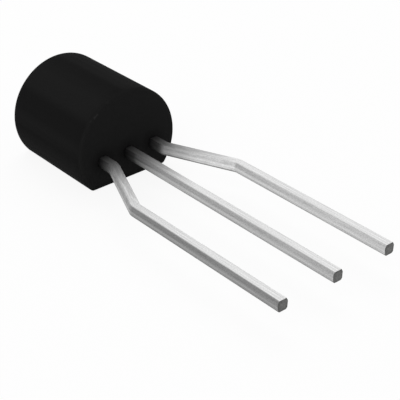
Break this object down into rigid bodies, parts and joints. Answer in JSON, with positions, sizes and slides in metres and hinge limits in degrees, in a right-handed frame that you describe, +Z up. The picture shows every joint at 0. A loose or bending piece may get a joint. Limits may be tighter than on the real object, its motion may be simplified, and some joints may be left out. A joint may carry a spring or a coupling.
{
  "type": "temperature sensor",
  "caption": "Through-hole temperature sensor in a black D-shaped moulded body with spread tinned leads along one end.",
  "frame": {"origin": "centre of the flat side of the body, which lies on the surface", "axes": "+Z up out of the flat towards the crown of the rounded back, -Y along the leads to their cut ends, X across the leads"},
  "size_m": [0.0056, 0.0166, 0.0039],
  "materials": {
    "moulded_epoxy": "matt black moulded epoxy compound",
    "tinned_copper": "bright tin plate on stamped copper alloy, with fine lengthwise drawing lines",
    "silver_adhesive": "cured silver-filled adhesive",
    "silicon": "polished silicon",
    "gold_wire": "bright gold wire"
  },
  "bodies": {
    "root": {"moulded_body": "moulded_epoxy", "left_lead": "tinned_copper", "centre_lead": "tinned_copper", "right_lead": "tinned_copper", "die_adhesive": "silver_adhesive", "silicon_die": "silicon", "left_bond_wire": "gold_wire", "centre_bond_wire": "gold_wire", "right_bond_wire": "gold_wire"}
  },
  "joints": []
}
